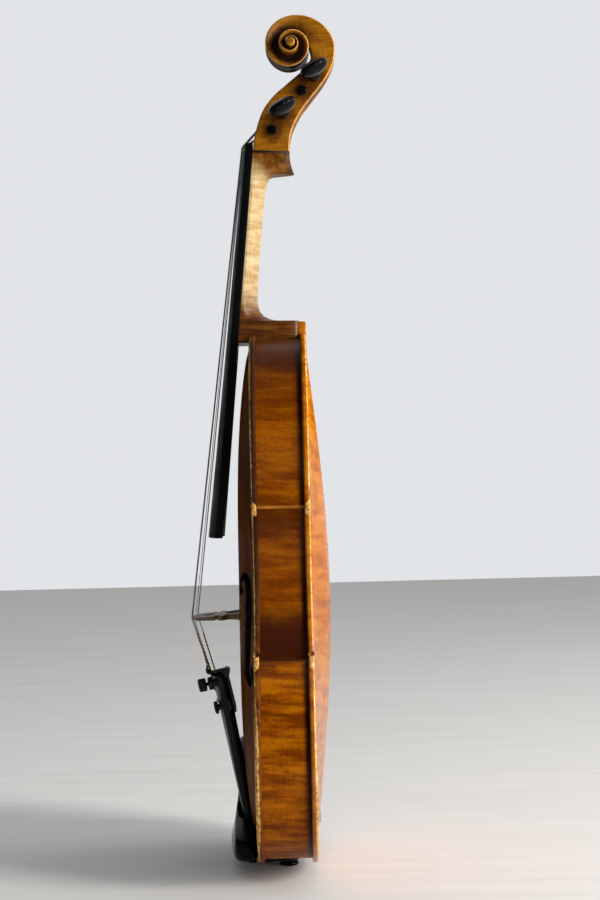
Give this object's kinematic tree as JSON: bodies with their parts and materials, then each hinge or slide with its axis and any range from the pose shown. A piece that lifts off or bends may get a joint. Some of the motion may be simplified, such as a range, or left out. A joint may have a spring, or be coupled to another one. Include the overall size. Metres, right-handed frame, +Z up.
{
  "type": "violin",
  "caption": "Full-size violin with arched plates, scroll head, tapered pegs, strings on a bridge, tailpiece with a lever fine tuner, and a clamped chin rest.",
  "frame": {"origin": "centre of the end button's flat lower face, which carries the instrument when it stands on its tail", "axes": "+Z up the instrument to the scroll, -X out of the belly towards the strings, +X out of the back, -Y the treble side, +Y the bass side with the chin rest"},
  "size_m": [0.108, 0.2116, 0.58],
  "materials": {
    "spruce": "varnished spruce, brown",
    "maple": "varnished flamed maple, amber to red-brown",
    "palemaple": "oiled bare flamed maple",
    "ebony": "polished black ebony",
    "blackfitting": "polished black wood",
    "barewood": "bare spruce and willow",
    "bridgewood": "bare speckled maple",
    "steel": "nickel-plated",
    "blackmetal": "black-plated steel",
    "string": "steel and aluminium wound",
    "gut": "black nylon",
    "cork": "cork"
  },
  "bodies": {
    "violin": {"belly": "spruce", "back": "maple", "rib_lower_bass": "maple", "rib_middle_bass": "maple", "rib_upper_bass": "maple", "rib_lower_treble": "maple", "rib_middle_treble": "maple", "rib_upper_treble": "maple", "upper_block": "barewood", "lower_block": "barewood", "corner_block_lower_bass": "barewood", "corner_block_upper_bass": "barewood", "corner_block_lower_treble": "barewood", "corner_block_upper_treble": "barewood", "lining_belly_lower_bass": "barewood", "lining_back_lower_bass": "barewood", "lining_belly_middle_bass": "barewood", "lining_back_middle_bass": "barewood", "lining_belly_upper_bass": "barewood", "lining_back_upper_bass": "barewood", "lining_belly_lower_treble": "barewood", "lining_back_lower_treble": "barewood", "lining_belly_middle_treble": "barewood", "lining_back_middle_treble": "barewood", "lining_belly_upper_treble": "barewood", "lining_back_upper_treble": "barewood", "bass_bar": "barewood", "sound_post": "barewood", "neck": "palemaple", "head": "maple", "fingerboard": "ebony", "nut": "ebony", "saddle": "ebony", "bridge": "bridgewood", "tailpiece": "blackfitting", "tuner_bracket": "blackmetal", "end_button": "ebony", "tailgut": "gut", "string_g": "string", "string_d": "string", "string_a": "string", "string_e": "string", "chin_rest_cup": "ebony", "chin_rest_cork": "cork", "clamp_upper_plate": "steel"},
    "g_peg": {"peg_g": "ebony", "string_g_windings": "string"},
    "e_peg": {"peg_e": "ebony", "string_e_windings": "string"},
    "d_peg": {"peg_d": "ebony", "string_d_windings": "string"},
    "a_peg": {"peg_a": "ebony", "string_a_windings": "string"},
    "tuner_screw": {"tuner_screw": "blackmetal"},
    "tuner_knob": {"tuner_knob": "blackmetal"},
    "tuner_lever": {"tuner_lever": "blackmetal"},
    "clamp_barrel_1": {"clamp_barrel_1": "steel"},
    "clamp_barrel_2": {"clamp_barrel_2": "steel"},
    "clamp_foot": {"clamp_lower_plate": "steel", "clamp_cork": "cork"}
  },
  "joints": [
    {"name": "g_peg_turn", "type": "hinge", "parent": "violin", "child": "g_peg", "pos_m": [0.0006, 0, 0.5004], "axis": [0, 1, 0], "continuous": true},
    {"name": "e_peg_turn", "type": "hinge", "parent": "violin", "child": "e_peg", "pos_m": [0.0077, 0, 0.5109], "axis": [0, 1, 0], "continuous": true},
    {"name": "d_peg_turn", "type": "hinge", "parent": "violin", "child": "d_peg", "pos_m": [0.0214, 0, 0.5271], "axis": [0, 1, 0], "continuous": true},
    {"name": "a_peg_turn", "type": "hinge", "parent": "violin", "child": "a_peg", "pos_m": [0.0294, 0, 0.5366], "axis": [0, 1, 0], "continuous": true},
    {"name": "tuner_screw_travel", "type": "slide", "parent": "violin", "child": "tuner_screw", "axis": [0.9807, 0, 0.1957], "range_m": [-0.0003, 0.0008]},
    {"name": "tuner_knob_turn", "type": "hinge", "parent": "tuner_screw", "child": "tuner_knob", "pos_m": [-0.04878, -0.014, 0.12666], "axis": [0.9807, 0, 0.1957], "range_deg": [-217, 577]},
    {"name": "tuner_lever_tilt", "type": "hinge", "parent": "violin", "child": "tuner_lever", "pos_m": [-0.03903, -0.014, 0.13534], "axis": [0, 1, 0], "range_deg": [-7, 2.65]},
    {"name": "clamp_foot_travel", "type": "slide", "parent": "violin", "child": "clamp_foot", "axis": [1, 0, 0], "range_m": [0, 0.0028]},
    {"name": "clamp_barrel_1_turn", "type": "hinge", "parent": "violin", "child": "clamp_barrel_1", "pos_m": [0.001, 0.08955, 0.02977], "axis": [1, 0, 0], "range_deg": [0, 725]},
    {"name": "clamp_barrel_2_turn", "type": "hinge", "parent": "violin", "child": "clamp_barrel_2", "pos_m": [0.001, 0.10014, 0.04361], "axis": [1, 0, 0], "range_deg": [0, 725]}
  ],
  "couplings": [
    {"joint": "tuner_knob_turn", "follows": "tuner_screw_travel", "rad_per_m": 12566},
    {"joint": "tuner_lever_tilt", "follows": "tuner_screw_travel", "rad_per_m": -151.5},
    {"joint": "clamp_barrel_1_turn", "follows": "clamp_foot_travel", "rad_per_m": 4488},
    {"joint": "clamp_barrel_2_turn", "follows": "clamp_foot_travel", "rad_per_m": 4488}
  ]
}
